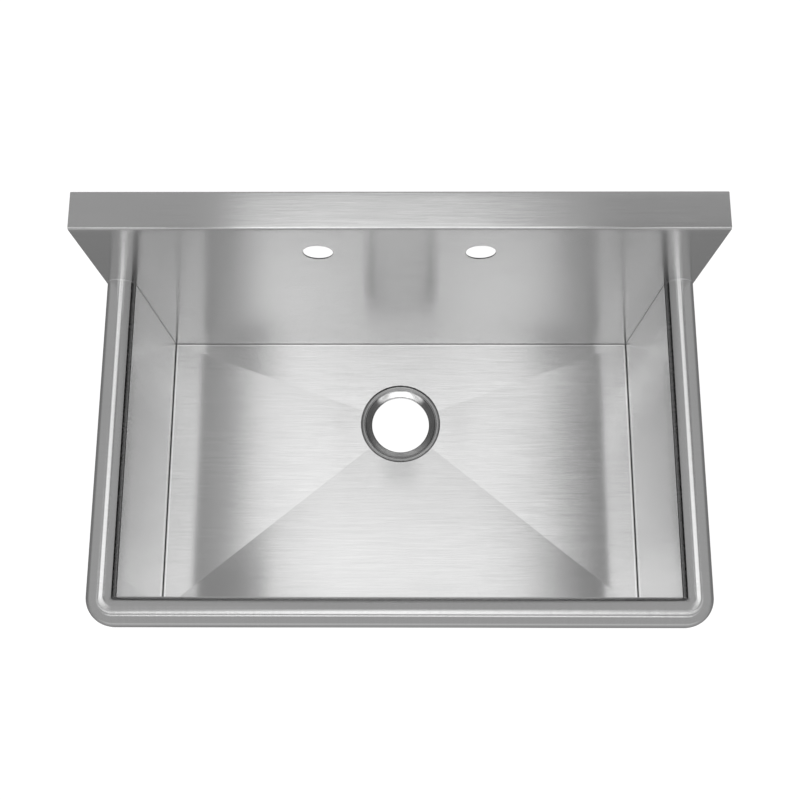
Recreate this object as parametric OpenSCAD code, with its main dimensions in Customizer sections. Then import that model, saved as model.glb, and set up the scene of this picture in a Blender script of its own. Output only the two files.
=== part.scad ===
// Wall-hung commercial utility sink: one square-cornered bowl with a rolled
// rim on three sides, a backsplash with a top return, and a wall rail that
// the return hooks over.
// X runs along the wall, -Y faces the user, +Z is up. The origin is on the
// wall, at the centre of the rail's bolt pattern.

/* [Bowl] */
// Clear width of the bowl
bowl_w = 711; // [560:1:860]
// Clear length of the bowl from its front wall to its back wall
bowl_len = 419; // [360:1:520]
// Depth from the rim's crown to the edge of the floor
bowl_depth = 254; // [200:1:340]
// Thickness of the stainless sheet
sheet_t = 1.6; // [1.2:0.1:2.4]
// Fall of the creased floor from its edges to the drain's centre
floor_fall = 6; // [3:0.5:9]

/* [Rolled rim] */
// Width of the rolled rim
rim_w = 38; // [30:1:50]
// Straight skirt below the outer side of the roll
rim_skirt = 4; // [2:0.5:10]

/* [Backsplash] */
// Height of the backsplash above the rim's crown
splash_h = 146; // [125:1:300]
// Depth of the return from the splash's face to the wall
return_depth = 51; // [40:1:76]
// How far the full-width splash reaches below the rim's skirt
splash_tail = 6; // [3:0.5:20]
// Inside radius of the bends in the sheet
bend_r = 1.6; // [0.8:0.1:3]

/* [Tap holes] */
// Distance between the centres of the two tap holes
tap_pitch = 203.2; // [150:0.1:210]
// Diameter of a tap hole
tap_hole_d = 38.1; // [28:0.1:40]
// Height of the tap holes above the rim's crown
tap_height = 81; // [60:1:95]

/* [Drain] */
// Diameter of the drain opening
drain_d = 88.9; // [80:0.1:92]
// Distance from the bowl's back wall to the drain's centre
drain_setback = 129; // [110:1:180]
// Outside diameter of the drain recess
recess_d = 123.5; // [116:0.5:130]
// Width of the recess's outer ledge
ledge_w = 5.2; // [3:0.1:7]
// Fall of the ledge across its width
ledge_fall = 0.9; // [0.4:0.1:1.6]
// Depth of the drain opening's edge below the floor round it
recess_depth = 5.4; // [4:0.1:8]
// Length of the straight throat below the recess
throat_len = 6; // [4:0.5:12]

/* [Wall rail] */
// Length of the wall rail
rail_len = 600; // [460:1:680]
// Height of the rail's flange against the wall
rail_h = 60; // [50:1:90]
// Thickness of the rail
rail_t = 2; // [1.5:0.1:3]
// Gap between the rail's raised leg and the wall
hook_gap = 5; // [4.5:0.1:8]
// Height of the rail's raised leg above its joggle
hook_h = 30; // [22:1:45]
// Distance between the rail's bolt holes along the wall
bolt_pitch_x = 406.4; // [300:0.1:420]
// Distance between the rail's bolt holes up the wall
bolt_pitch_z = 25.4; // [20:0.1:32]
// Diameter of a bolt hole in the rail
bolt_hole_d = 8.6; // [6:0.1:11]
// Clearance between the sink's back edge and the wall
wall_clear = 1.5; // [1:0.1:2]
// Clearance between the sink's lip and the rail's joggle below it
lip_clear = 8; // [4:0.5:12]

/* [Rear support] */
// Length of the channel that stands the bowl off the wall
support_len = 480; // [300:1:640]
// Height of the channel's box part
support_h = 40; // [30:1:60]
// Width of each welded foot of the channel
support_foot = 14; // [10:1:20]
// Height of the channel's centre line above the floor's edge
support_rise = 62; // [40:1:90]
// Diameter of a rubber bumper
bumper_d = 26; // [18:1:30]
// Thickness of a rubber bumper
bumper_t = 4; // [3:0.5:6]
// Number of rubber bumpers on the channel
bumper_count = 3; // [2:1:5]

/* [Sound pads] */
// Length of a sound pad
pad_len = 190; // [120:1:210]
// Width of a sound pad
pad_w = 46; // [30:1:52]
// Thickness of a sound pad
pad_t = 3; // [2:0.5:6]
// Distance from the bowl's walls to the front, left and right sound pads
pad_margin = 70; // [40:1:90]
// Distance from the bowl's back wall to the back sound pad
back_pad_margin = 12; // [6:1:14]

/* [Hidden] */
$fn = 96;

// Overrun of a cutter past the faces that it cuts
cut_over = 1;

steel = "gainsboro";
polished = "silver";
plated = "darkgray";
rubber = "dimgray";
damping = "slategray";

rim_r = rim_w / 2;

// Heights, counted up from the rail
rail_top = rail_h / 2 + hook_gap + hook_h;
top_z = rail_top + sheet_t;
crown_z = top_z - splash_h;
roll_z = crown_z - rim_r;
tail_z = roll_z - rim_skirt - splash_tail;
floor_z = crown_z - bowl_depth;
lip_z = rail_h / 2 + hook_gap + lip_clear;
tap_z = crown_z + tap_height;

// Places along Y: the splash's face, the back edge, the front wall's inner
// face and the drain's centre
face_y = -return_depth;
back_y = -wall_clear;
front_y = face_y - bowl_len;
drain_y = face_y - drain_setback;

// Places along X
inner_x = bowl_w / 2;
outer_x = inner_x + rim_w;
sheet_mid = sheet_t / 2;

// Distances from the drain's centre to the four edges of the floor
side_reach = inner_x;
back_reach = drain_setback;
front_reach = bowl_len - drain_setback;

// Levels of the drain ring
recess_r = recess_d / 2;
drain_r = drain_d / 2;
far_reach = max(side_reach, front_reach);
ring_top_z = floor_z - floor_fall * (1 - recess_r / far_reach);
ledge_r = recess_r - sheet_t - ledge_w;
ledge_z = ring_top_z - sheet_t / 2;
throat_z = ring_top_z - recess_depth;

// Turn a unit vector a quarter turn to its left
function left_of(d) = [-d[1], d[0]];
function unit(v) = v / norm(v);
function last(list) = len(list) - 1;

// A sheet folded at right angles, drawn by the points of its middle line
module folded_sheet(points, t, inside_r) {
    mid_r = inside_r + t / 2;
    for (i = [0 : last(points) - 1]) {
        d = unit(points[i + 1] - points[i]);
        from = points[i] + (i > 0 ? mid_r : 0) * d;
        to = points[i + 1] - (i + 1 < last(points) ? mid_r : 0) * d;
        side = left_of(d) * t / 2;
        polygon([from - side, to - side, to + side, from + side]);
    }
    for (i = [1 : last(points) - 1]) {
        into = unit(points[i] - points[i - 1]);
        away = unit(points[i + 1] - points[i]);
        centre = points[i] + mid_r * (away - into);
        corner = (mid_r + t) * (into - away);
        intersection() {
            translate(centre) difference() {
                circle(r = mid_r + t / 2);
                circle(r = mid_r - t / 2);
            }
            polygon([centre, centre + [corner[0], 0], centre + corner, centre + [0, corner[1]]]);
        }
    }
}

// Carry a section drawn in Y and Z along X, centred
module along_x(length) {
    rotate([90, 0, 90]) linear_extrude(length, center = true) children();
}

// The roll's section: half a tube and its skirt, out from the bowl's wall
module roll_section() {
    intersection() {
        translate([rim_r, 0]) difference() {
            circle(r = rim_r);
            circle(r = rim_r - sheet_t);
        }
        square([rim_w, rim_r]);
    }
    translate([rim_w - sheet_t, -rim_skirt]) square([sheet_t, rim_skirt]);
}

// The section of a bowl wall with its roll
module rolled_wall_section() {
    roll_section();
    wall_drop = roll_z - floor_z + sheet_t;
    translate([0, -wall_drop]) square([sheet_t, wall_drop]);
}

module back_panel() {
    color(steel) difference() {
        union() {
            along_x(outer_x * 2) folded_sheet([
                [face_y + sheet_mid, tail_z],
                [face_y + sheet_mid, top_z - sheet_mid],
                [back_y - sheet_mid, top_z - sheet_mid],
                [back_y - sheet_mid, lip_z]
            ], sheet_t, bend_r);
            along_x((inner_x + sheet_t) * 2)
                translate([face_y, floor_z - sheet_t]) square([sheet_t, tail_z - floor_z + sheet_t]);
        }
        for (side = [-1, 1])
            translate([side * tap_pitch / 2, face_y + sheet_t + cut_over, tap_z])
                rotate([90, 0, 0]) cylinder(d = tap_hole_d, h = sheet_t + cut_over * 2);
    }
}

module front_panel() {
    color(steel) {
        translate([0, front_y, roll_z]) rotate([90, 0, -90])
            linear_extrude(bowl_w, center = true) rolled_wall_section();
        wall_drop = roll_z - floor_z + sheet_t;
        for (side = [-1, 1])
            translate([side * (inner_x + sheet_mid), front_y - sheet_mid, roll_z - wall_drop / 2])
                cube([sheet_t, sheet_t, wall_drop], center = true);
    }
}

// The end wall on the right, with its rolled rim
module end_panel() {
    color(steel) translate([inner_x, face_y, roll_z])
        rotate([90, 0, 0]) linear_extrude(bowl_len) rolled_wall_section();
}

module right_end_panel() {
    end_panel();
}

module left_end_panel() {
    mirror([1, 0, 0]) end_panel();
}

// The formed corner on the right: the roll turned about the bowl's corner
module rim_corner() {
    color(steel) translate([inner_x, front_y, roll_z])
        rotate([0, 0, -90]) rotate_extrude(angle = 90) roll_section();
}

module right_rim_corner() {
    rim_corner();
}

module left_rim_corner() {
    mirror([1, 0, 0]) rim_corner();
}

// The plate that closes the right end of the splash's channel
module splash_end() {
    top = top_z - sheet_t;
    front = face_y + sheet_t;
    back = back_y - sheet_t;
    color(steel) translate([outer_x - sheet_mid, 0, 0]) along_x(sheet_t) {
        translate([front, tail_z]) square([back - front, top - bend_r - tail_z]);
        translate([front + bend_r, top - bend_r]) square([back - front - bend_r * 2, bend_r]);
        for (y = [front + bend_r, back - bend_r])
            translate([y, top - bend_r]) circle(r = bend_r);
    }
}

module right_splash_end() {
    splash_end();
}

module left_splash_end() {
    mirror([1, 0, 0]) splash_end();
}

// A shallow inverted pyramid with upright sides: the floor's four creased
// facets, from the level given down by a thickness
module creased_block(level, thickness) {
    plan = [[-inner_x, front_y], [inner_x, front_y], [inner_x, face_y], [-inner_x, face_y], [0, drain_y]];
    falls = [0, 0, 0, 0, floor_fall];
    top = [for (i = [0 : 4]) [plan[i][0], plan[i][1], level - falls[i]]];
    bottom = [for (p = top) [p[0], p[1], p[2] - thickness]];
    faces_top = [for (i = [0 : 3]) [4, (i + 1) % 4, i]];
    faces_bottom = [for (i = [0 : 3]) [9, 5 + i, 5 + (i + 1) % 4]];
    faces_side = [for (i = [0 : 3]) [i, (i + 1) % 4, 5 + (i + 1) % 4, 5 + i]];
    polyhedron(concat(top, bottom), concat(faces_top, faces_bottom, faces_side));
}

module bowl_floor() {
    color(steel) difference() {
        creased_block(floor_z, sheet_t);
        translate([0, drain_y, throat_z]) cylinder(r = recess_r, h = floor_z - throat_z + cut_over);
    }
}

// The pressed recess: a collar trimmed flush with the creased floor, a
// narrow ledge, a cone and the straight throat that takes the drain fitting
module drain_ring() {
    collar_r = recess_r - sheet_t;
    color(polished) intersection() {
        translate([0, drain_y, 0]) rotate_extrude() {
            translate([collar_r, ledge_z - sheet_t]) square([sheet_t, floor_z - ledge_z + sheet_t]);
            polygon([
                [collar_r, ledge_z],
                [ledge_r, ledge_z - ledge_fall],
                [drain_r, throat_z],
                [drain_r, throat_z - throat_len],
                [drain_r + sheet_t, throat_z - throat_len],
                [drain_r + sheet_t, throat_z - sheet_t],
                [ledge_r, ledge_z - ledge_fall - sheet_t],
                [collar_r, ledge_z - sheet_t]
            ]);
        }
        creased_block(floor_z, bowl_depth);
    }
}

// The hat-shaped channel welded to the back of the bowl
module rear_support_channel() {
    foot_y = face_y + sheet_t + sheet_mid;
    web_y = -bumper_t - sheet_mid;
    low = floor_z + support_rise - support_h / 2 + sheet_mid;
    high = floor_z + support_rise + support_h / 2 - sheet_mid;
    color(plated) along_x(support_len) folded_sheet([
        [foot_y, low - support_foot],
        [foot_y, low],
        [web_y, low],
        [web_y, high],
        [foot_y, high],
        [foot_y, high + support_foot]
    ], sheet_t, bend_r);
}

module wall_bumpers() {
    span = support_len - bumper_d * 2;
    color(rubber) for (i = [0 : bumper_count - 1])
        translate([span * (i / (bumper_count - 1) - 1 / 2), 0, floor_z + support_rise])
            rotate([90, 0, 0]) cylinder(d = bumper_d, h = bumper_t);
}

// A sound pad against the underside of a facet: edge is the middle of the
// facet's edge, heading the turn from +Y, and reach the facet's length
module sound_pad(edge, heading, reach, margin) {
    color(damping) translate([edge[0], edge[1], floor_z - sheet_t]) rotate([0, 0, heading])
        rotate([atan(floor_fall / reach), 0, 0])
            translate([-pad_len / 2, -margin - pad_w, -pad_t]) cube([pad_len, pad_w, pad_t]);
}

module front_sound_pad() {
    sound_pad([0, front_y], 180, front_reach, pad_margin);
}

module back_sound_pad() {
    sound_pad([0, face_y], 0, back_reach, back_pad_margin);
}

module left_sound_pad() {
    sound_pad([-inner_x, drain_y], 90, side_reach, pad_margin);
}

module right_sound_pad() {
    sound_pad([inner_x, drain_y], -90, side_reach, pad_margin);
}

module wall_rail() {
    // How far a joggle's corner shifts so that the sheet keeps its thickness
    mitre = rail_t * tan(45 / 2);
    flange_top = rail_h / 2;
    color(plated) difference() {
        along_x(rail_len) polygon([
            [0, -flange_top],
            [0, flange_top],
            [-hook_gap, flange_top + hook_gap],
            [-hook_gap, rail_top],
            [-hook_gap - rail_t, rail_top],
            [-hook_gap - rail_t, flange_top + hook_gap + mitre],
            [-rail_t, flange_top + mitre],
            [-rail_t, -flange_top]
        ]);
        for (x = [-1, 1], z = [-1, 1])
            translate([x * bolt_pitch_x / 2, cut_over, z * bolt_pitch_z / 2])
                rotate([90, 0, 0]) cylinder(d = bolt_hole_d, h = rail_t + cut_over * 2);
    }
}

back_panel();
front_panel();
left_end_panel();
right_end_panel();
bowl_floor();
drain_ring();
left_rim_corner();
right_rim_corner();
left_splash_end();
right_splash_end();
rear_support_channel();
wall_bumpers();
front_sound_pad();
back_sound_pad();
left_sound_pad();
right_sound_pad();
wall_rail();
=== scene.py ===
"""Visual model of a wall-hung stainless utility sink.

X runs along the wall, -Y faces the user and +Z is up, in metres. The origin
is on the wall, at the centre of the wall rail's bolt pattern.
"""

import math

import bmesh
import bpy
import numpy as np
from mathutils import Matrix


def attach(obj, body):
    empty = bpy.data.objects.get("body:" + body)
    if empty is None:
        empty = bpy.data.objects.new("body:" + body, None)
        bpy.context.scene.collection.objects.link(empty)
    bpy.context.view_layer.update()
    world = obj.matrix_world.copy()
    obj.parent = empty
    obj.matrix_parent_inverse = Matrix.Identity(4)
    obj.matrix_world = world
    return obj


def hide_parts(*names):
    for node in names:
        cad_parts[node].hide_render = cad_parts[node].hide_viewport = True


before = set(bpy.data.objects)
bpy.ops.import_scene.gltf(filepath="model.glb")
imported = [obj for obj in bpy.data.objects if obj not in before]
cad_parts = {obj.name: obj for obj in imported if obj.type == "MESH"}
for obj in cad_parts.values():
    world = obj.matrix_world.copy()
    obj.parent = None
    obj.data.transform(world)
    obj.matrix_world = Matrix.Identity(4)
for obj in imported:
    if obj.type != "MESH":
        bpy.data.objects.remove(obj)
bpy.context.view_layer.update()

# Sizes of the sink

MM = 0.001

SHEET = 1.6 * MM
BEND = 3.2 * MM  # outer radius of the bends in the sheet

INNER_X = 355.5 * MM  # inside of the bowl's end walls
OUTER_X = 393.5 * MM  # ends of the splash, and the outside of the rims
FACE_Y = -51 * MM  # face of the splash and of the bowl's back wall
BACK_Y = -1.5 * MM  # outside of the lip at the wall
FRONT_Y = -470 * MM  # inside of the bowl's front wall

TOP_Z = 66.6 * MM  # top of the return
LIP_Z = 43 * MM  # lower edge of the lip
ROLL_Z = -98.4 * MM  # spring line of the rolled rims, and the top of the walls
TAIL_Z = -108.4 * MM  # lower edge of the splash beside the bowl
FLOOR_Z = -333.4 * MM  # floor along its edge

ROLL_R = 19 * MM
SKIRT = 4 * MM  # the rim's straight edge below its spring line

TAP_X = 101.6 * MM
TAP_Z = 1.6 * MM
TAP_R = 19.05 * MM

DRAIN_Y = -180 * MM
FALL = 6 * MM  # from the floor's edge to the drain's centre
RECESS_R = 61.75 * MM
SHOULDER_R = 59.5 * MM  # where the drain ring's shoulder ends and its level part begins
THROAT_Z = -349.758 * MM
THROAT_DEPTH = 11.4 * MM  # from the drain ring's top to the throat's end

CREST = 29.8 * MM  # from the roll's inner spring line, along its section
RIDGE_HEIGHT = 0.8 * MM
RIDGE_WIDTH = 3.4 * MM
RIDGE_OUTER_HEIGHT = 0.3 * MM
RIDGE_OUTER_WIDTH = 5 * MM
RIDGE_TURN = 0.0035  # the ridge runs this much off the front's line, as a share

SEAM_R = 1.3 * MM
BEAD_R = 0.7 * MM
BEAD_TUCK = 0.4 * MM  # how far the bead's middle lies in front of the splash

BUMPER_X = 214 * MM
BUMPER_Z = -271.4 * MM

# Data on the meshes

GRAIN = "grain"  # UV map: metres across the grain, metres along it
SEAM_DARKNESS = "seam_darkness"  # point attribute: how dark a weld seam is made
PRESSED = "pressed"  # point attribute: 1 on the front roll, 0 on the end rolls

# Brushed finish

STEEL_TONE = 0.82
STEEL_ROUGHNESS = 0.21
FINE_HAIR = (0.11 * MM, 14 * MM)  # width and length of a hair line
BROAD_HAIR = (0.37 * MM, 45 * MM)
WAVE = 0.09 * MM  # height of the long waves in a sheet
HIGHLIGHT_AT_ENDS = (2.3 * MM, 3.6 * MM)  # how far from an end wall the floor carries a painted highlight along the seam
HIGHLIGHT_AT_SIDES = (0.0, 2.6 * MM)  # and from the front and the back wall
DARK_AT_ENDS = (0.0, 1.6 * MM)  # how far from an end wall the floor is dark
STRIP = (1.0 * MM, 12.0 * MM)  # dark strip on a roll, weld stain and painted shade, from its spring line along its section
STRIP_LINES = ((1.0 * MM, 3.6 * MM), (9.6 * MM, 11.6 * MM))  # the black lines at its edges

# Studio

GROUND_Z = -0.95
GROUND_HALF = (14, 14)
GROUND_TONE = 0.9  # of the matt floor that the light meets
GROUND_SHADE = 0.33  # of the matt part that the eye sees, which carries the shadow
GROUND_GLOW = 0.76  # of the white part that the eye sees
SOFTBOX_CENTRE = (0, -0.6, 2.17)
SOFTBOX_HALF = (1.3, 2.0)
CLOTH_PROFILE = ((0.0, -0.93), (1.6, -0.93), (3.2, -0.9), (3.8, -0.3), (3.9, 0.8), (3.4, 2.2), (2.0, 3.1),
                 (0.0, 3.4))  # radius and height of the tent

SENSOR = 36.0  # width in millimetres
LENS = 43.98  # focal length in millimetres
SHIFT_Y = 0.0875
CAMERA_PLACE = Matrix((
    (0.9999838, -0.000757063, 0.00564189, 0.007823),
    (0.00195327, 0.976576745, -0.21516051, -0.578384),
    (-0.00534685, 0.215168045, 0.9765624, 1.134353),
    (0.0, 0.0, 0.0, 1.0)))


# Shapes from numbers


def lines(first, *spans):
    """Grid lines from first through each (end, steps) span, evenly spaced in a span."""
    found = [np.array([first])]
    for end, steps in spans:
        found.append(np.linspace(found[-1][-1], end, steps + 1)[1:])
    return np.concatenate(found)


def straight(start, end, steps):
    """Points from start to end, and their normal: the direction turned a quarter turn left."""
    share = np.linspace(0, 1, steps + 1)[:, None]
    start, end = np.array(start), np.array(end)
    ahead = (end - start) / np.linalg.norm(end - start)
    points = start + (end - start) * share
    return points, np.broadcast_to([-ahead[1], ahead[0]], points.shape)


def arc(centre, radius, start, end, steps):
    """Points centre + radius (cos, sin) from the start to the end angle in degrees, with radial normals."""
    angle = np.radians(np.linspace(start, end, steps + 1))
    out = np.stack([np.cos(angle), np.sin(angle)], axis=-1)
    return np.array(centre) + radius * out, out


def distance_along(points):
    """How far each point is from the first, along the line through all of them."""
    return np.concatenate([[0], np.cumsum(np.linalg.norm(np.diff(points, axis=0), axis=1))])


def joined(*parts):
    """Profile parts end to end: points, normals, and the distance along the profile of each point."""
    points = np.concatenate([parts[0][0]] + [p[1:] for p, _ in parts[1:]])
    normals = np.concatenate([parts[0][1]] + [n[1:] for _, n in parts[1:]])
    return points, normals, distance_along(points)


def grid_cells(rows, columns):
    """The indices of the four corners of each cell of a grid of points."""
    index = np.arange(rows * columns).reshape(rows, columns)
    return np.stack([index[:-1, :-1], index[1:, :-1], index[1:, 1:], index[:-1, 1:]], axis=-1)


def sheet(face, normal, grain, kept=None, loop=False, joins=(False, False)):
    """The sink's sheet metal as a closed patch.

    face is a grid of points, normal its unit normals and grain its UVs. The
    back is the face moved against the normal by the sheet's thickness. kept
    says which cells exist, loop that the last column meets the first, and joins
    whether the first and the last row meet another patch. Each other edge
    between a cell and a gap gets a strip from the face to the back.
    """
    rows, columns = face.shape[:2]
    count = rows * columns
    back = face - normal * SHEET
    points = np.concatenate([face.reshape(-1, 3), back.reshape(-1, 3)])
    uvs = np.concatenate([grain.reshape(-1, 2), grain.reshape(-1, 2) + [SHEET, SHEET / 2]])
    cells = grid_cells(rows, columns)
    if kept is None:
        kept = np.ones(cells.shape[:2], bool)
    near = np.pad(kept, 1)
    near[0], near[-1] = joins
    if loop:
        near[:, 0], near[:, -1] = near[:, -2].copy(), near[:, 1].copy()
    quads = [cells[kept], cells[kept][:, ::-1] + count]
    sides = ((0, 3, near[:-2, 1:-1]), (1, 2, near[2:, 1:-1]), (0, 1, near[1:-1, :-2]), (3, 2, near[1:-1, 2:]))
    for first, second, neighbour in sides:
        edge = cells[kept & ~neighbour]
        a, b = edge[:, first], edge[:, second]
        quads.append(np.stack([a, b, b + count, a + count], axis=-1))
    return points, np.concatenate(quads), uvs


def surface(points, grain):
    """A closed surface as a patch: a grid of points whose neighbours are joined by quads."""
    return points.reshape(-1, 3), grid_cells(*points.shape[:2]).reshape(-1, 4), grain.reshape(-1, 2)


def bar(section, start, end, steps):
    """A solid bar: a closed section carried straight from start to end, its ends drawn to their centres.

    section is (points, 3), the offsets of the outline from the path. The
    outline is repeated at its end to close it, and a column of centre points
    closes each end.
    """
    outline = np.concatenate([section, section[:1]])
    share = np.linspace(0, 1, steps + 1)
    path = np.array(start) + (np.array(end) - np.array(start)) * share[:, None]
    skin = outline[:, None, :] + path[None, :, :]
    middle = section.mean(axis=0)
    caps = [np.broadcast_to(middle + path[k], skin[:, :1].shape) for k in (0, -1)]
    points = np.concatenate([caps[0], skin, caps[1]], axis=1)
    length = np.linalg.norm(path[-1] - path[0])
    along = np.concatenate([[-SHEET], share * length, [length + SHEET]])
    return surface(points, np.stack(np.meshgrid(distance_along(outline), along, indexing="ij"), axis=-1))


def lathe(profile, steps):
    """A profile of (radius, height) points turned once round the Z axis, with its UVs down and round it."""
    turn = np.linspace(0, 2 * np.pi, steps + 1)
    radius, height = profile[:, :1], profile[:, 1:]
    points = np.stack([radius * np.cos(turn), radius * np.sin(turn), height + 0 * turn], axis=-1)
    down = np.broadcast_to(distance_along(profile)[:, None], points.shape[:2])
    around = np.broadcast_to(turn * profile[:, 0].mean(), points.shape[:2])
    return points, np.stack([down, around], axis=-1)


def piece(name, patches, finish, stands_for=(), marks=None, sharp=32):
    """One mesh of the sink's body from patches of (points, quads, UVs).

    Points that meet are merged, faces are turned outwards, and edges sharper
    than the given degrees stay sharp. marks is a point attribute's name and its
    value for each patch, one number or one for each point of the patch's face.
    """
    offsets = np.cumsum([0] + [len(p[0]) for p in patches[:-1]])
    points = np.concatenate([p[0] for p in patches])
    quads = np.concatenate([p[1] + o for p, o in zip(patches, offsets)]).astype(np.int32)
    uvs = np.concatenate([p[2] for p in patches])
    mesh = bpy.data.meshes.new(name)
    mesh.vertices.add(len(points))
    mesh.vertices.foreach_set("co", points.astype(np.float32).ravel())
    mesh.loops.add(quads.size)
    mesh.loops.foreach_set("vertex_index", quads.ravel())
    mesh.polygons.add(len(quads))
    mesh.polygons.foreach_set("loop_start", np.arange(0, quads.size, 4, dtype=np.int32))
    mesh.update(calc_edges=True)
    mesh.uv_layers.new(name=GRAIN).data.foreach_set("uv", uvs[quads.ravel()].astype(np.float32).ravel())
    if marks is not None:
        attribute, found = marks
        values = [np.resize(np.float32(mark).ravel(), len(p[0])) for p, mark in zip(patches, found)]
        mesh.attributes.new(attribute, "FLOAT", "POINT").data.foreach_set("value", np.concatenate(values))
    mesh.validate()
    shell = bmesh.new()
    shell.from_mesh(mesh)
    bmesh.ops.remove_doubles(shell, verts=shell.verts, dist=1e-6)
    bmesh.ops.recalc_face_normals(shell, faces=shell.faces)
    shell.to_mesh(mesh)
    shell.free()
    mesh.polygons.foreach_set("use_smooth", np.ones(len(mesh.polygons), bool))
    mesh.set_sharp_from_angle(angle=math.radians(sharp))
    made = bpy.data.objects.new(name, mesh)
    bpy.context.scene.collection.objects.link(made)
    mesh.materials.append(finish)
    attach(made, "sink")
    if stands_for:
        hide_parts(*stands_for)


# Shader writing


def add_node(tree, kind, settings=None, values=None, output=0):
    """Add a node, set its settings, then its sockets' values or links, and return one of its outputs."""
    node = tree.nodes.new(kind)
    for key, value in (settings or {}).items():
        setattr(node, key, value)
    for key, value in (values or {}).items():
        if isinstance(value, Wire):
            tree.links.new(value.socket, node.inputs[key])
        else:
            node.inputs[key].default_value = value
    return Wire(node.outputs[output])


class Wire:
    """A socket's value on its way through a tree. Arithmetic on it adds Math nodes."""

    def __init__(self, socket):
        self.socket = socket

    def node(self, kind, settings=None, values=None, output=0):
        """Any other node in the same tree."""
        return add_node(self.socket.id_data, kind, settings, values, output)

    def math(self, operation, *others):
        """A Math node whose first term is this value."""
        return self.node("ShaderNodeMath", {"operation": operation}, dict(enumerate((self, *others))))

    def __add__(self, other):
        return self.math("ADD", other)

    __radd__ = __add__

    def __mul__(self, other):
        return self.math("MULTIPLY", other)

    __rmul__ = __mul__

    def __sub__(self, other):
        return self.math("SUBTRACT", other)

    def __rsub__(self, other):
        return self.node("ShaderNodeMath", {"operation": "SUBTRACT"}, {0: other, 1: self})

    def vector(self, operation, *others):
        """A Vector Math node whose first term is this vector."""
        return self.node("ShaderNodeVectorMath", {"operation": operation}, dict(enumerate((self, *others))))

    def scaled(self, share):
        """This vector times a number."""
        return self.node("ShaderNodeVectorMath", {"operation": "SCALE"}, {0: self, "Scale": share})

    def part(self, index):
        """One of the three numbers of a vector."""
        return self.node("ShaderNodeSeparateXYZ", values={"Vector": self}, output=index)

    def rise(self, low, high):
        """0 below low and 1 above high, with a smooth step between them."""
        return self.node("ShaderNodeMapRange", {"interpolation_type": "SMOOTHSTEP"},
                         {"Value": self, "From Min": low, "From Max": high})

    def band(self, low, high, soft):
        """1 between low and high, fading to 0 over soft on each side."""
        return self.rise(low - soft, low) * (1 - self.rise(high, high + soft))


def new_material(name, metallic=0.0, anisotropic=0.0):
    """A material with a Principled shader: (material, tree, shader node)."""
    material = bpy.data.materials.new(name)
    material.use_nodes = True
    tree = material.node_tree
    shader = tree.nodes["Principled BSDF"]
    shader.inputs["Metallic"].default_value = metallic
    shader.inputs["Anisotropic"].default_value = anisotropic
    return material, tree, shader


def connect(tree, shader, **wires):
    """Link wires to the shader's sockets. A space in a socket's name is written as _."""
    for name, wire in wires.items():
        tree.links.new(wire.socket, shader.inputs[name.replace("_", " ")])


def grain_map(tree):
    """Metres across and along the grain."""
    return add_node(tree, "ShaderNodeUVMap", {"uv_map": GRAIN})


def grain_tangent(tree):
    """The direction across the grain."""
    return add_node(tree, "ShaderNodeTangent", {"direction_type": "UV_MAP", "uv_map": GRAIN})


def object_place(tree):
    """Object coordinates, which are places on the sink in metres."""
    return add_node(tree, "ShaderNodeTexCoord", output=3)


def noise(coordinates, cells, detail=2.0, rough=0.5):
    """Noise from 0 to 1 with so many cells a metre: one number, or one for each axis."""
    scale = cells
    if isinstance(cells, tuple):
        scale = 1.0
        coordinates = coordinates.node("ShaderNodeMapping", {"vector_type": "POINT"},
                                       {"Vector": coordinates, "Scale": cells})
    return coordinates.node("ShaderNodeTexNoise", {"noise_dimensions": "3D"},
                            {"Vector": coordinates, "Scale": scale, "Detail": detail, "Roughness": rough})


def mix_colour(factor, low, high):
    """The colour low where the factor is 0 and high where it is 1."""
    return factor.node("ShaderNodeMix", {"data_type": "RGBA"},
                       {"Factor": factor, "A": low, "B": high}, output=2)


def grey(value, warmth=0.0):
    """A grey as a colour, a little warmer with more red and less blue."""
    return (value * (1 + warmth), value, value * (1 - warmth), 1.0)


def bumped(height, strength=1.0, **under):
    """A normal bent by a height in metres: the surface's own, or the one given as Normal."""
    return height.node("ShaderNodeBump",
                       values={"Height": height, "Strength": strength, "Distance": 1.0, **under})


# Materials


def hair_lines(grain, width, length):
    """A random value for each hair line: cells of the given width and length, each row of them slid along."""
    column = (grain.part(0) * (1 / width)).math("FLOOR")
    slide = column.node("ShaderNodeTexWhiteNoise", {"noise_dimensions": "1D"}, {"W": column})
    row = (grain.part(1) * (1 / length) + slide).math("FLOOR")
    cell = column.node("ShaderNodeCombineXYZ", values={0: column, 1: row})
    return cell.node("ShaderNodeTexWhiteNoise", {"noise_dimensions": "2D"}, {"Vector": cell})


def leaning_normal(tree, tangent, across, along=None):
    """The surface's normal leaned along the tangent, and square to it, by the tangents of two angles."""
    normal = add_node(tree, "ShaderNodeNewGeometry", output=1)
    leaned = normal.vector("ADD", tangent.scaled(across))
    if along is not None:
        leaned = leaned.vector("ADD", tangent.vector("CROSS_PRODUCT", normal).scaled(along))
    return leaned.vector("NORMALIZE")


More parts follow.
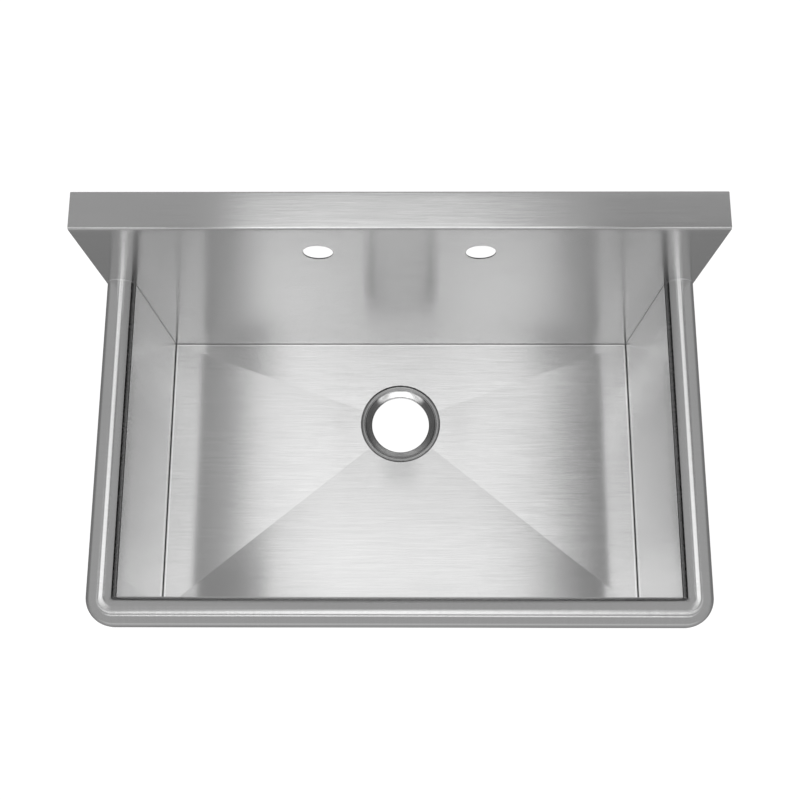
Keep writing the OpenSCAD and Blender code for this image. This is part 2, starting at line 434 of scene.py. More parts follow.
def brushed_steel(name, lean, lines_shown, waves=1.0, floor=False, rolled=False):
    """Brushed stainless sheet, its brush lines along the second UV.

    Each hair line leans the surface a little across the grain, which spreads a
    reflection across the lines and keeps it sharp along them. Fine and broad
    lines and grit show in colour and roughness, a slow cloud varies both, and
    long waves in the height bend reflections. The bowl's floor and the panels
    with a rolled rim have details of their own.
    """
    material, tree, shader = new_material(name, metallic=1.0, anisotropic=1.0)
    grain, place = grain_map(tree), object_place(tree)
    hair = hair_lines(grain, *FINE_HAIR) * 0.5 + hair_lines(grain, *BROAD_HAIR) * 0.5
    fine = noise(grain, (1400, 9, 1), 3.0, 0.65)
    broad = noise(grain, (210, 4, 1), 2.0, 0.55)
    grit = noise(grain, (900, 500, 1), 1.0)
    cloud = noise(place, 5.0)
    streaks = (fine - 0.5) + (broad - 0.5) * 0.12 + (grit - 0.5) * 0.45
    tone_share = 0.5 + streaks * lines_shown + (cloud - 0.5) * 0.35
    colour = mix_colour(tone_share, grey(STEEL_TONE * 0.93), grey(STEEL_TONE * 1.05))
    rough = STEEL_ROUGHNESS + (broad - 0.5) * (0.01 * lines_shown) + (cloud - 0.5) * 0.02
    slope = None
    if floor:
        colour = floor_details(place, cloud, colour)
    if rolled:
        colour, rough, slope = roll_details(grain, place, colour, rough)
    tangent = grain_tangent(tree)
    leaned = leaning_normal(tree, tangent, (hair - 0.5) * lean, slope)
    bump = bumped(noise(place, 7.0, 1.0) * (WAVE * waves), Normal=leaned)
    connect(tree, shader, Base_Color=colour, Roughness=rough, Normal=bump, Tangent=tangent)
    return material


def floor_details(place, cloud, colour):
    """The floor's colour with a painted highlight along its edge, the dark line beside the end walls' seams,
    and painted shade.

    The floor's edge has a painted highlight in place of the weld fillet's highlight. The front
    facet is where the share of the way to the front wall is more than the
    share of the way to an end wall. Painted shade darkens it near the drain and
    in its left corner, and darkens a soft rectangle in front of the drain.
    """
    x, y = place.part(0), place.part(1)
    from_end = INNER_X - x.math("ABSOLUTE")
    from_side = (y - FRONT_Y).math("MINIMUM", FACE_Y - y)
    # painted highlight along the floor's edge, standing in for the weld fillet's highlight
    painted_edge_highlight = from_end.band(*HIGHLIGHT_AT_ENDS, 0.5 * MM)
    painted_edge_highlight = painted_edge_highlight.math("MAXIMUM", from_side.band(*HIGHLIGHT_AT_SIDES, 0.6 * MM))
    colour = mix_colour(painted_edge_highlight * 0.9, colour, grey(1.0))
    colour = mix_colour(from_end.band(*DARK_AT_ENDS, 0.2 * MM) * 0.4, colour, grey(0.04))
    end_share = x.math("ABSOLUTE") * (1 / INNER_X)
    front_share = (DRAIN_Y - y) * (1 / (DRAIN_Y - FRONT_Y))
    # painted shade: the front facet darker near the drain and in its left corner, and a soft darker rectangle
    # in front of the drain
    facet = (front_share - end_share).rise(-0.004, 0.004)
    near_drain = 1 - front_share.rise(0.2, 0.85)
    left_corner = front_share.rise(0.6, 0.85) * (2 - x.rise(-0.22, -0.185) * 2)
    patch = x.band(-6 * MM, 6 * MM, 38 * MM) * y.band(-256 * MM, -250 * MM, 42 * MM)
    painted_shade = facet * (near_drain + left_corner) * 0.22 + patch * (0.25 + cloud * 0.25)
    return mix_colour(painted_shade, colour, grey(0.5))


def roll_details(grain, place, colour, rough):
    """The colour, roughness and slope along the grain of a rolled rim and the wall below it.

    The second UV is over 0 on the roll and under 0 on the wall. Painted shade
    darkens a wall in the middle, more so on the right, and at the right end's
    back. Where a roll meets its wall it has a dark mottled strip with two black
    lines, faint on the front: weld stain and painted shade where the roll turns
    down into the wall. The front roll has the ridge that the press leaves along
    its crest, CREST from the spring line: height * exp(-(off / width)^2), narrow
    on the bowl's side and low and wide on the user's side. The slope is its
    derivative, turned over.
    """
    section = grain.part(1)
    pressed = grain.node("ShaderNodeAttribute", {"attribute_name": PRESSED}, output=2)
    mottle = noise(grain, (240, 900, 1), 4.0, 0.7)
    x, y = place.part(0), place.part(1)
    wall = 1 - section.rise(-1.0 * MM, 0.0)
    right = x.rise(-0.1, 0.1)
    # painted shade: the walls darker in the middle, more so on the right, and at the right end's back
    painted_shade = y.band(-0.36, -0.22, 0.09) * (0.13 + right * 0.13) + right * y.rise(-0.13, -0.09) * 0.15
    colour = mix_colour(wall * painted_shade, colour, grey(0.0))

    # weld stain and painted shade: a dark mottled strip with two black lines where the roll turns into its
    # wall, weaker on the front roll
    strip = section.band(*STRIP, 0.6 * MM)
    black_lines = section.band(*STRIP_LINES[0], 0.6 * MM) + section.band(*STRIP_LINES[1], 0.7 * MM) * 0.7
    weld_stain_and_shade = strip * (0.3 + (mottle - 0.45) * 2.6) + black_lines * 0.5
    weld_stain_and_shade = weld_stain_and_shade.math("MINIMUM", 1.0) * (1 - pressed * 0.86)
    colour = mix_colour(weld_stain_and_shade, colour, grey(0.03))

    off = section - CREST + x * RIDGE_TURN
    bowl_side = off.math("LESS_THAN", 0.0)
    inner, outer = 1 / RIDGE_WIDTH**2, 1 / RIDGE_OUTER_WIDTH**2
    narrowness = outer + bowl_side * (inner - outer)
    height = RIDGE_OUTER_HEIGHT + bowl_side * (RIDGE_HEIGHT - RIDGE_OUTER_HEIGHT)
    slope = off * narrowness * height * (off * off * narrowness * -1).math("EXPONENT") * 2
    return colour, rough + weld_stain_and_shade * 0.15, slope * pressed


def turned_steel(name):
    """Drain ring turned on a lathe: fine rings in colour, roughness and height.

    The first UV runs down the ring's section: a dull ledge with two scored
    lines, a lip with a painted highlight, a groove and the cone darkened with
    painted shade, and a painted highlight on the cone's far side and a weaker
    one on its near side.
    """
    material, tree, shader = new_material(name, metallic=1.0, anisotropic=0.75)
    grain, place = grain_map(tree), object_place(tree)
    down = grain.part(0)
    rings = noise(grain, (1900, 8, 1), 3.0, 0.6)
    wide = noise(grain, (520, 3, 1), 1.0)
    back_share = (place.part(1) - DRAIN_Y) * (1 / RECESS_R)
    # painted highlight on the cone's far side, and a weaker one on its near side
    far = back_share.rise(0.5, 0.66) * place.part(0).band(-31 * MM, 31 * MM, 8 * MM)
    near = (back_share * -1).rise(0.3, 0.8) * (0.6 + wide * 0.8)
    score = down.band(2.6 * MM, 2.9 * MM, 0.2 * MM) + down.band(4.6 * MM, 4.8 * MM, 0.2 * MM)
    # painted highlight on the lip's rounding
    lip = down.band(7.2 * MM, 7.6 * MM, 0.25 * MM)
    groove = down.band(8.1 * MM, 8.9 * MM, 0.3 * MM)
    cone = down.rise(7.9 * MM, 8.4 * MM)
    # painted shade on the groove and the cone, under the painted highlights on the lip and the cone
    tone = 0.31 + lip * 0.65 + score * 0.22 - groove * 0.1 + cone * (far * 0.72 + near * 0.32 - 0.07)
    colour = mix_colour(tone + (rings - 0.5) * 0.3 + (wide - 0.5) * 0.16, grey(0.02), grey(0.95))
    connect(tree, shader, Base_Color=colour, Roughness=0.2 + (wide - 0.5) * 0.12,
            Normal=bumped(rings * 5e-6 + wide * 1.2e-5), Tangent=grain_tangent(tree))
    return material


def weld_metal(name):
    """Dressed weld seam: bright ground metal where its darkness is 0, dark and mottled where it is 1."""
    material, tree, shader = new_material(name, metallic=1.0)
    seam_darkness = add_node(tree, "ShaderNodeAttribute", {"attribute_name": SEAM_DARKNESS}, output=2)
    mottle = noise(grain_map(tree), (300, 260, 1), 3.0, 0.7)
    dark = seam_darkness * (0.8 + mottle * 0.45)
    connect(tree, shader, Base_Color=mix_colour(dark, grey(0.95), grey(0.03)), Roughness=0.24 + dark * 0.3,
            Normal=bumped(mottle * 2.5e-5, 0.6))
    return material


def mill_steel(name):
    """Mill-finish steel of the hidden supports: dull, with rolling streaks along X and light scratches."""
    material, tree, shader = new_material(name, metallic=1.0)
    place = object_place(tree)
    streaks = noise(place, (6, 320, 320), 3.0, 0.6)
    cloud = noise(place, 14.0, 3.0)
    scratches = noise(place, (90, 900, 900), 1.0, 0.4).rise(0.62, 0.7)
    colour = mix_colour(streaks * 0.6 + cloud * 0.4, grey(0.44, 0.01), grey(0.62, 0.005))
    connect(tree, shader, Base_Color=colour, Roughness=0.36 + (cloud - 0.5) * 0.18 + (1 - scratches) * 0.03,
            Normal=bumped(streaks * 8e-6 + scratches * 6e-6))
    return material


def black_rubber(name):
    """Moulded rubber: near black, matt, with a fine pebbled skin and dust in the hollows."""
    material, tree, shader = new_material(name)
    place = object_place(tree)
    pebbles = noise(place, 1400.0)
    dust = noise(place, 60.0, 3.0).rise(0.45, 0.8)
    connect(tree, shader, Base_Color=mix_colour(dust * 0.7, grey(0.022), grey(0.075, 0.03)),
            Roughness=0.62 + (pebbles - 0.5) * 0.2, Normal=bumped(pebbles * 6e-5, 0.7))
    return material


def damping_pad(name):
    """Pressed damping sheet: dark grey, matt, with diamonds from the product of two crossed sine waves."""
    material, tree, shader = new_material(name)
    place = object_place(tree)
    x, y = place.part(0), place.part(1)
    pitch = 9 * MM
    first, second = (((x + y * side) * (2 * math.pi / pitch)).math("SINE") for side in (1, -1))
    diamonds = (first * second).rise(-0.25, 0.35)
    grit = noise(place, 700.0)
    colour = mix_colour(grit * 0.6 + diamonds * 0.4, grey(0.07), grey(0.15, -0.01))
    connect(tree, shader, Base_Color=colour, Roughness=0.78 + (grit - 0.5) * 0.2,
            Normal=bumped(diamonds * 2.5e-4 + grit * 4e-5, 0.8))
    return material


floor_steel = brushed_steel("brushed_floor_steel", lean=0.2, lines_shown=2.0, waves=0.6, floor=True)
splash_steel = brushed_steel("brushed_splash_steel", lean=0.15, lines_shown=1.6)
rim_steel = brushed_steel("brushed_rim_steel", lean=0.15, lines_shown=1.0, waves=0.8, rolled=True)
ring_steel = turned_steel("turned_ring_steel")
seam_metal = weld_metal("weld_seam_metal")
support_steel = mill_steel("mill_steel")
rubber = black_rubber("black_rubber")
pad_sheet = damping_pad("damping_pad_sheet")


# Pieces of the sink


def back_panel():
    """The folded back sheet: a T-shaped face with two tap holes, the return and its lip.

    Rows follow the folded profile and columns run along X. Below the splash
    the outer columns are left out. Round each tap hole the grid's square of
    half size `block` is drawn onto the circle, and the move fades out at `reach`.
    """
    block, reach = 0.75 * TAP_R, 1.5 * TAP_R
    half_bowl = INNER_X + SHEET
    heights = lines(FLOOR_Z - SHEET, (TAIL_Z, 6), (TAP_Z - reach, 3), (TAP_Z - block, 4),
                    (TAP_Z + block, 16), (TAP_Z + reach, 4), (TOP_Z - BEND, 3))
    face = np.stack([np.full_like(heights, FACE_Y), heights], axis=-1)
    points, normals, distance = joined(
        (face, np.broadcast_to([-1.0, 0.0], face.shape)),
        arc((FACE_Y + BEND, TOP_Z - BEND), BEND, 180, 90, 12),
        straight((FACE_Y + BEND, TOP_Z), (BACK_Y - BEND, TOP_Z), 4),
        arc((BACK_Y - BEND, TOP_Z - BEND), BEND, 90, 0, 8),
        straight((BACK_Y, TOP_Z - BEND), (BACK_Y, LIP_Z), 2),
    )
    columns = lines(-OUTER_X, (-half_bowl, 2), (-TAP_X - reach, 6), (-TAP_X - block, 4),
                    (-TAP_X + block, 16), (-TAP_X + reach, 4), (TAP_X - reach, 6), (TAP_X - block, 4),
                    (TAP_X + block, 16), (TAP_X + reach, 4), (half_bowl, 6), (OUTER_X, 2))
    x, row = np.meshgrid(columns, np.arange(len(points)))
    grid = np.stack([x, points[row, 0], points[row, 1]], axis=-1)
    middle = (grid[:-1, :-1] + grid[1:, 1:]) / 2
    kept = (middle[..., 2] > TAIL_Z) | (np.abs(middle[..., 0]) < half_bowl)
    for centre in (-TAP_X, TAP_X):
        from_hole = np.abs(middle[..., [0, 2]] - [centre, TAP_Z])
        kept &= from_hole.max(axis=-1) > block
        away = np.stack([grid[..., 0] - centre, grid[..., 2] - TAP_Z], axis=-1)
        square = np.abs(away).max(axis=-1)
        share = np.clip((reach - square) / (reach - block), 0, 1) * (grid[..., 1] < FACE_Y + 1e-6)
        round_spot = away / np.maximum(np.linalg.norm(away, axis=-1), 1e-9)[..., None] * TAP_R
        ringed = away * (1 - share[..., None]) + round_spot * share[..., None]
        inside = (square > block - 1e-6) & (square < reach)
        grid[..., 0] = np.where(inside, centre + ringed[..., 0], grid[..., 0])
        grid[..., 2] = np.where(inside, TAP_Z + ringed[..., 1], grid[..., 2])
    normal = np.stack([0 * x, normals[row, 0], normals[row, 1]], axis=-1)
    grain = np.stack([distance[row], x], axis=-1)
    return sheet(grid, normal, grain, kept=kept)


def roll_profile():
    """The rolled rim, a half circle and a short skirt, in (outwards, up) from its inner spring line."""
    return joined(arc((ROLL_R, 0), ROLL_R, 180, 0, 56), straight((2 * ROLL_R, 0), (2 * ROLL_R, -SKIRT), 1))


def rolled_wall(place, turn_in, along):
    """A bowl wall and the roll above it, carried along a straight line.

    place turns (outwards, along, up) into a point and turn_in does the same to
    a direction. The wall is brushed up and down and the roll round its section,
    so the first UV runs along both.
    """
    heights = np.linspace(FLOOR_Z - SHEET - ROLL_Z, 0, 7)
    up, at = np.meshgrid(heights, along, indexing="ij")
    wall = sheet(place(0 * up, at, up), turn_in(-1.0 + 0 * up, 0 * up), np.stack([at, up], axis=-1),
                 joins=(False, True))
    profile, out, across = roll_profile()
    row, at = np.meshgrid(np.arange(len(profile)), along, indexing="ij")
    roll = sheet(place(profile[row, 0], at, profile[row, 1]), turn_in(out[row, 0], out[row, 1]),
                 np.stack([at, across[row]], axis=-1), joins=(True, False))
    return [wall, roll]


def end_panel(side):
    """The end wall with its roll, carried along Y on the side given, -1 or 1."""
    return rolled_wall(lambda out, at, up: np.stack([side * (INNER_X + out), at, ROLL_Z + up], axis=-1),
                       lambda out, up: np.stack([side * out, 0 * out, up], axis=-1),
                       np.linspace(FACE_Y, FRONT_Y, 9))


def rim_corner(side):
    """The roll turned a quarter turn about the bowl's inner front corner, and the share of the turn."""
    profile, out, across = roll_profile()
    row, share = np.meshgrid(np.arange(len(profile)), np.linspace(0, 1, 33), indexing="ij")
    turn = share * np.pi / 2
    away_x, away_y = side * np.cos(turn), -np.sin(turn)
    face = np.stack([side * INNER_X + profile[row, 0] * away_x, FRONT_Y + profile[row, 0] * away_y,
                     ROLL_Z + profile[row, 1]], axis=-1)
    normal = np.stack([out[row, 0] * away_x, out[row, 0] * away_y, out[row, 1]], axis=-1)
    return sheet(face, normal, np.stack([-side * turn * ROLL_R, across[row]], axis=-1)), share


def front_panel():
    """The front wall with its roll, carried along X, and a post that closes each corner of the bowl."""
    patches = rolled_wall(lambda out, at, up: np.stack([at, FRONT_Y - out, ROLL_Z + up], axis=-1),
                          lambda out, up: np.stack([0 * out, -out, up], axis=-1),
                          np.linspace(-INNER_X, INNER_X, 13))
    heights = np.linspace(FLOOR_Z - SHEET, ROLL_Z, 3)
    for side in (-1, 1):
        x, z = np.meshgrid([side * INNER_X, side * (INNER_X + SHEET)], heights)
        post = np.stack([x, 0 * x + FRONT_Y, z], axis=-1)
        patches.append(sheet(post, np.array([0.0, 1.0, 0.0]), np.stack([z - ROLL_Z, x], axis=-1)))
    return patches


def floor_reach(x, y):
    """How far (x, y) lies from the drain's centre towards the floor's edge, from 0 to 1."""
    dy = y - DRAIN_Y
    return np.maximum(np.abs(x) / INNER_X, np.maximum(dy / (FACE_Y - DRAIN_Y), dy / (FRONT_Y - DRAIN_Y)))


def bowl_floor():
    """Four flat facets that fall to the drain.

    Columns run from the drain's recess straight out to points along the
    floor's edge, bunched towards its corners by a cosine, so that the creases
    lie on columns. The height falls evenly from the edge to the drain's centre.
    """
    bunched = (1 - np.cos(np.linspace(0, np.pi, 45))) / 2
    corners = np.array([[-INNER_X, FRONT_Y], [INNER_X, FRONT_Y], [INNER_X, FACE_Y], [-INNER_X, FACE_Y]])
    sides = np.roll(corners, -1, axis=0) - corners
    edge = (corners[:, None] + sides[:, None] * bunched[:-1, None]).reshape(-1, 2)
    edge = np.concatenate([edge, edge[:1]])
    away = edge - [0, DRAIN_Y]
    reach = np.linalg.norm(away, axis=-1)
    share = np.linspace(0, 1, 15)[:, None]
    radius = RECESS_R + (reach - RECESS_R) * share
    flat = away / reach[:, None] * radius[..., None] + [0, DRAIN_Y]
    z = FLOOR_Z - FALL * (1 - radius / reach)
    face = np.concatenate([flat, z[..., None]], axis=-1)
    return sheet(face, np.array([0.0, 0.0, 1.0]), flat[..., ::-1].copy(), loop=True)


def drain_ring():
    """The pressed recess, turned about the drain's axis.

    The profile is (radius, depth below the ring's top) in millimetres: a
    rounded shoulder, a sloping band, a lip, the cone and the throat, then back
    under the sheet. The outer shoulder follows the creased floor. Further in,
    the ring is level.
    """
    profile = np.array([
        (61.75, 0.0), (61.45, 0.06), (61.1, 0.2), (60.7, 0.45), (60.2, 0.75), (59.5, 1.0), (58.4, 1.12),
        (57.2, 1.2), (56.2, 1.3), (55.5, 1.42), (55.0, 1.62), (54.6, 1.95), (54.1, 2.35), (53.3, 2.8),
        (52.0, 3.3), (50.2, 3.9), (48.2, 4.5), (46.4, 4.98), (45.3, 5.25), (44.8, 5.5), (44.52, 5.85),
        (44.45, 6.4), (44.45, 11.2), (44.7, 11.4), (45.8, 11.4), (46.05, 11.2), (46.05, 7.2), (47.5, 6.6),
        (54.95, 3.5), (60.15, 2.5), (61.75, 2.5), (61.75, 0.0)]) * MM * [1, -1]
    top_z = THROAT_Z + THROAT_DEPTH
    points, grain = lathe(profile, 144)
    x, y = points[..., 0], points[..., 1] + DRAIN_Y
    creased_z = FLOOR_Z - FALL * (1 - floor_reach(x, y))
    shoulder = np.clip((profile[:, 0] - SHOULDER_R) / (RECESS_R - SHOULDER_R), 0, 1)
    shoulder = shoulder * (profile[:, 1] > -2 * MM)
    z = points[..., 2] + top_z + shoulder[:, None] * (creased_z - top_z)
    return surface(np.stack([x, y, z], axis=-1), grain)


def splash_end(side):
    """The plate that closes one end of the splash: its top follows the bends' inside radius."""
    inside = BEND - SHEET
    front, back = FACE_Y + SHEET, BACK_Y - SHEET
    y = lines(front, (front + inside, 6), (back - inside, 4), (back, 6))
    into_bend = np.maximum(np.maximum(front + inside - y, y - back + inside), 0)
    top = TOP_Z - SHEET - inside + np.sqrt(np.maximum(inside**2 - into_bend**2, 0))
    share, column = np.meshgrid(np.linspace(0, 1, 5), np.arange(len(y)), indexing="ij")
    z = TAIL_Z + (top[column] - TAIL_Z) * share
    face = np.stack([0 * z + side * OUTER_X, y[column], z], axis=-1)
    return sheet(face, np.array([side * 1.0, 0.0, 0.0]), np.stack([y[column], z], axis=-1))


def seam(start, end, first, second):
    """A concave weld fillet along a corner of the bowl.

    Its section is a quarter circle between the two faces, whose unit directions
    away from the corner are first and second, closed through a point just
    inside the corner.
    """
    first, second = np.array(first, float), np.array(second, float)
    angle = np.linspace(0, np.pi / 2, 7)[:, None]
    curve = SEAM_R * (first + second) - SEAM_R * (first * np.cos(angle) + second * np.sin(angle))
    tuck = -(first + second) * 0.25 * SHEET
    return bar(np.concatenate([curve + tuck * 0.2, tuck[None, :]]), start, end, 24)


def bowl_seams():
    """Weld fillets round the floor's edge and up the bowl's four corners, and how dark each is made."""
    up, away_from_wall, away_from_front = (0, 0, 1), (0, -1, 0), (0, 1, 0)
    seams, seam_darknesses = [], []
    for side in (-1, 1):
        front, back = (side * INNER_X, FRONT_Y, FLOOR_Z), (side * INNER_X, FACE_Y, FLOOR_Z)
        inwards = (-side, 0, 0)
        seams += [seam(front, back, inwards, up),
                  seam(back, (*back[:2], ROLL_Z), inwards, away_from_wall),
                  seam(front, (*front[:2], ROLL_Z), inwards, away_from_front)]
        seam_darknesses += [1, 0.55, 0.3]
    for y, away in ((FACE_Y, away_from_wall), (FRONT_Y, away_from_front)):
        seams.append(seam((-INNER_X, y, FLOOR_Z), (INNER_X, y, FLOOR_Z), away, up))
        seam_darknesses.append(0.75)
    return seams, seam_darknesses


def roll_end_welds():
    """A thin weld bead where each end roll meets the splash: a small circle carried round the half roll.

    It stands proud of the roll by the square of the sine of the turn, so it
    thins out at both sides. A column of centre points closes each end.
    """
    turn, around = np.meshgrid(np.linspace(0, np.pi, 49), np.linspace(0, 2 * np.pi, 9))
    radius = ROLL_R + BEAD_R * (np.sin(turn) ** 2 - 1 + np.cos(around))
    grain = np.meshgrid(np.linspace(0, 4 * MM, 9), np.linspace(0, 60 * MM, 51), indexing="ij")
    patches = []
    for side in (-1, 1):
        points = np.stack([side * (INNER_X + ROLL_R + radius * np.cos(turn)),
                           FACE_Y - BEAD_TUCK + BEAD_R * np.sin(around),
                           ROLL_Z + radius * np.sin(turn)], axis=-1)
        ends = [np.broadcast_to(points[:-1, k].mean(axis=0), points[:, :1].shape) for k in (0, -1)]
        patches.append(surface(np.concatenate([ends[0], points, ends[1]], axis=1), np.stack(grain, axis=-1)))
    return patches


def bumpers():
    """Three rubber discs with rounded rims and a dimple: a profile of (radius, height) turned about Y."""
    profile = np.array([
        (0, 4.0), (12.0, 4.0), (12.7, 3.8), (13.0, 3.2), (13.0, 0.9), (12.7, 0.3), (12.0, 0.0), (7.0, 0.0),
        (6.2, 0.25), (5.6, 0.8), (4.0, 1.1), (0, 1.2)]) * MM
    points, grain = lathe(profile, 48)
    patches = []
    for centre in (-BUMPER_X, 0, BUMPER_X):
        turned = np.stack([points[..., 0] + centre, -points[..., 2], points[..., 1] + BUMPER_Z], axis=-1)
        patches.append(surface(turned, grain))
    return patches


piece("back_sheet", [back_panel()], splash_steel, ["back_panel"])
piece("front_sheet", front_panel(), rim_steel, ["front_panel"],
      marks=(PRESSED, [1, 1, 0, 0]))
for side, hand in ((-1, "left"), (1, "right")):
    piece(f"{hand}_end_sheet", end_panel(side), rim_steel, [f"{hand}_end_panel"])
    patch, pressed = rim_corner(side)
    piece(f"{hand}_rolled_corner", [patch], rim_steel, [f"{hand}_rim_corner"],
          marks=(PRESSED, [pressed]))
    piece(f"{hand}_splash_plate", [splash_end(side)], splash_steel,
          [f"{hand}_splash_end"])
piece("creased_floor", [bowl_floor()], floor_steel, ["bowl_floor"], sharp=0.4)
piece("turned_drain_ring", [drain_ring()], ring_steel, ["drain_ring"], sharp=60)
seams, seam_darknesses = bowl_seams()
piece("bowl_weld_seams", seams, seam_metal, marks=(SEAM_DARKNESS, seam_darknesses), sharp=50)
piece("roll_end_welds", roll_end_welds(), seam_metal, marks=(SEAM_DARKNESS, [0, 0]), sharp=70)
piece("rubber_bumpers", bumpers(), rubber, ["wall_bumpers"], sharp=50)

for node, finish in (("rear_support_channel", support_steel), ("wall_rail", support_steel),
                     ("front_sound_pad", pad_sheet), ("back_sound_pad", pad_sheet),
                     ("left_sound_pad", pad_sheet), ("right_sound_pad", pad_sheet)):
    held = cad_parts[node].data.materials
    held.clear()
    held.append(finish)


# Stage, light and camera


def stage_piece(name, points, faces, material):
    """A stage object from a grid of points and the indices of its faces."""
    mesh = bpy.data.meshes.new(name)
    mesh.from_pydata(points.reshape(-1, 3).tolist(), [], faces)
    made = bpy.data.objects.new(name, mesh)
    bpy.context.scene.collection.objects.link(made)
    mesh.materials.append(material)
    return made


def level_card(name, centre, half, material):
    """A level card: a grid of four points at half its width and depth from the centre."""
    x, y = np.meshgrid([-half[0], half[0]], [-half[1], half[1]])
    points = np.stack([x + centre[0], y + centre[1], 0 * x + centre[2]], axis=-1)
    return stage_piece(name, points, [(0, 1, 3, 2)], material)


def cloth_tent(material):
    """A round tent about the sink: its profile of (radius, height) turned about Z."""
    points, _ = lathe(np.array(CLOTH_PROFILE), 48)
    faces = grid_cells(*points.shape[:2]).reshape(-1, 4)[:, ::-1]
    return stage_piece("cloth_tent", points, faces.tolist(), material)


def bare_material(name):
    """A material with no shader yet, and its tree."""
    material = bpy.data.materials.new(name)
    material.use_nodes = True
    material.node_tree.nodes.remove(material.node_tree.nodes["Principled BSDF"])
    return material, material.node_tree


def show(tree, shader):
    """Make a shader what the material's surface shows."""
    tree.links.new(shader.socket, tree.nodes["Material Output"].inputs["Surface"])


def glow(level):
    """White light of the given strength."""
    return level.node("ShaderNodeEmission", values={"Color": grey(1.0), "Strength": level})


def seen_directly(tree):
    """1 for camera, glossy and transmission rays, 0 for diffuse and shadow rays."""
    seen, mirrored, through = (add_node(tree, "ShaderNodeLightPath", output=name)
                               for name in ("Is Camera Ray", "Is Glossy Ray", "Is Transmission Ray"))
    return seen.math("MAXIMUM", mirrored.math("MAXIMUM", through))


def pale_floor():
    """The pale floor: plain matt to light, and to the eye and in reflections white with a soft shadow."""
    material, tree = bare_material("pale_floor")
    matt = add_node(tree, "ShaderNodeBsdfDiffuse", values={"Color": grey(GROUND_TONE)})
    shade = add_node(tree, "ShaderNodeBsdfDiffuse", values={"Color": grey(GROUND_SHADE)})
    white = add_node(tree, "ShaderNodeEmission", values={"Color": grey(1.0), "Strength": GROUND_GLOW})
    seen = matt.node("ShaderNodeAddShader", values={0: white, 1: shade})
    show(tree, seen.node("ShaderNodeMixShader", values={0: seen_directly(tree), 1: matt, 2: seen}))
    return material


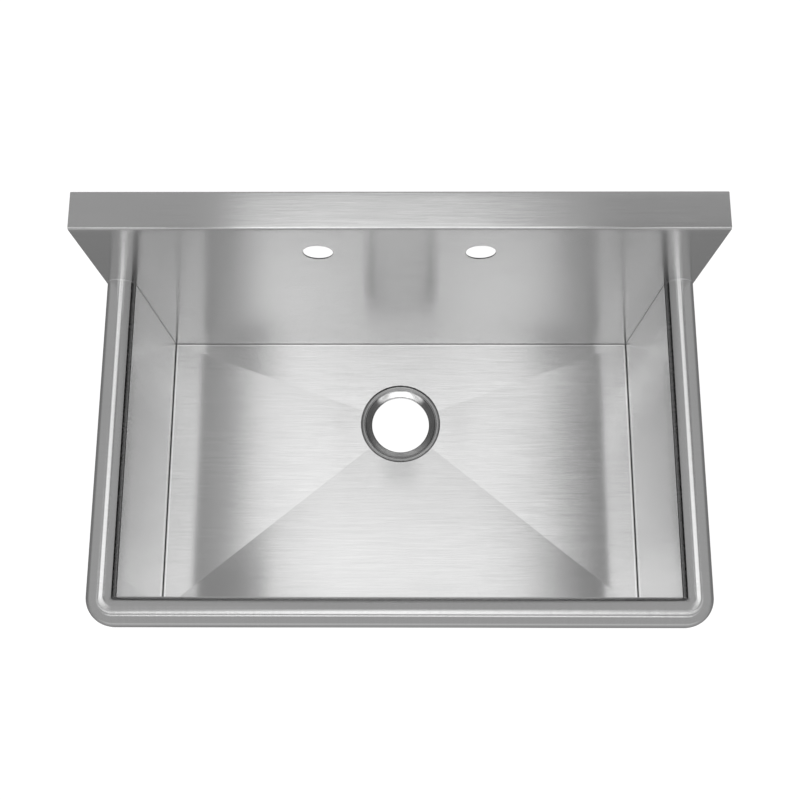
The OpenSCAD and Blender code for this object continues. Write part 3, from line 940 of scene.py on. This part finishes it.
def overhead_light():
    """One large softbox over the sink, two wings and a strip light in front of it, and a dim base under all.

    Each is a level over the card, from X, to the user's right, and Y, towards
    the wall. The softbox is the product of its two ends, its level along Y, a
    stand that hides a little of its middle far in front, and a tilt. Each end
    falls in a steep step with a slow shoulder before it. Behind the sink the
    right end leans inwards with Y.
    """
    material, tree = bare_material("overhead_light")
    place = object_place(tree)
    x, y = place.part(0), place.part(1)
    front = 1 - y.rise(-0.5, 0.1)  # 1 in front of the sink and 0 behind it
    far_front = 1 - y.rise(-1.25, -0.9)
    middle = x.band(-0.1, 0.1, 0.2)

    left_step = (x - far_front * 0.035 + front * 0.015).rise(-0.65, -0.51)
    left = left_step * (0.72 + front * 0.2) + x.rise(-0.55, -0.26) * (0.28 - front * 0.2)

    leaning = x + (1 - front) * (y.math("MINIMUM", 0.45) * 0.5 - 0.1) + front * 0.06 - far_front * 0.085
    shoulder = leaning.rise(0.32, 0.58) * (front * 0.13 + y.rise(0.1, 0.3) * 0.36 + y.rise(0.25, 0.45) * 0.2)
    right_step = leaning.rise(0.56, 0.615) * 0.8 + leaning.rise(0.6, 0.7) * 0.2
    right = (1 - shoulder) * (1 - right_step)

    front_edge = (y + x * 0.05 + middle * 0.035).rise(-1.72, -1.32)
    along = front_edge * 1.08 - y.rise(-0.8, -0.15) * 0.42 - y.rise(0.7, 1.3) * 0.36
    along = along + y.band(-0.66, -0.45, 0.05) * 0.24 + y.band(-0.35, 0.0, 0.08) * x.rise(0.1, 0.4) * 0.28
    stand = 1 - middle * 0.12 * far_front
    tilt = 1 - x * 0.18 - y.rise(0.75, 1.1) * (0.3 + x * 0.5)
    tilt = tilt + far_front * ((1 - x.rise(-0.5, -0.33)) * 0.8 + x.rise(0.05, 0.3) * 0.08)
    softbox = left * right * along * stand * tilt

    wings = (1 - x.band(-0.82, 0.82, 0.08)) * y.band(-1.35, -0.65, 0.12) * 0.8
    strip = y.band(-2.4, -1.95, 0.05) * (1 - x.band(-0.12, 0.12, 0.15))
    dimmer_right = x.rise(0.5, 0.66) * (0.03 + y.rise(-0.1, 0.2) * (1 - y.rise(0.6, 0.9)) * 0.15)
    base = 0.33 - dimmer_right + x.rise(0.45, 0.6) * y.rise(0.75, 1.0) * 0.06
    show(tree, glow(softbox + wings + strip + base))
    return material


def grey_cloth():
    """The tent of grey cloth that the metal reflects.

    It is darkest on the ground at both sides of the sink, and grows paler
    upwards. The ground is paler in the middle, more so under the sink, and
    palest far in front and behind.
    """
    material, tree = bare_material("grey_cloth")
    place = object_place(tree)
    x, y, z = (place.part(k) for k in range(3))
    middle = x.band(-0.15, 0.15, 0.2).math("MAXIMUM", 1 - y.rise(-1.3, -0.7))
    level = 0.19 + middle * 0.15 + z.rise(-0.94, 0.3) * (0.18 - middle * 0.15)
    under_sink = y.rise(-0.53, -0.4) * (1 - y.rise(0.1, 0.4)) * (1 - z.rise(-0.92, -0.9))
    level = level + x.band(-0.15, 0.15, 0.15) * under_sink * 0.42
    away = y.math("ABSOLUTE")
    far = away.rise(1.6, 2.5) * (away - x.math("ABSOLUTE")).rise(-0.1, 0.8) * (1 - z.rise(-0.8, -0.3))
    level = level + far * (0.52 + y.rise(-0.5, 0.5) * 0.33 - level)
    show(tree, glow(level))
    return material


def white_world():
    """A plain white world, which is also an even light."""
    world = bpy.data.worlds.new("studio_world")
    world.use_nodes = True
    background = world.node_tree.nodes["Background"]
    background.inputs["Color"].default_value = grey(1.0)
    background.inputs["Strength"].default_value = 1.0
    bpy.context.scene.world = world


white_world()
level_card("studio_floor", (0, 0, GROUND_Z), GROUND_HALF, pale_floor())
softbox = level_card("overhead_softbox", SOFTBOX_CENTRE, SOFTBOX_HALF, overhead_light())
tent = cloth_tent(grey_cloth())
for card in (softbox, tent):
    card.visible_camera = False
    card.visible_shadow = False
    card.visible_transmission = False
tent.visible_diffuse = False

lens = bpy.data.cameras.new("camera")
lens.lens = LENS
lens.sensor_width = SENSOR
lens.shift_y = SHIFT_Y
lens.clip_start, lens.clip_end = 0.01, 60.0
camera = bpy.data.objects.new("camera", lens)
bpy.context.scene.collection.objects.link(camera)
camera.matrix_world = CAMERA_PLACE
bpy.context.scene.camera = camera
bpy.context.scene.view_settings.view_transform = "Standard"
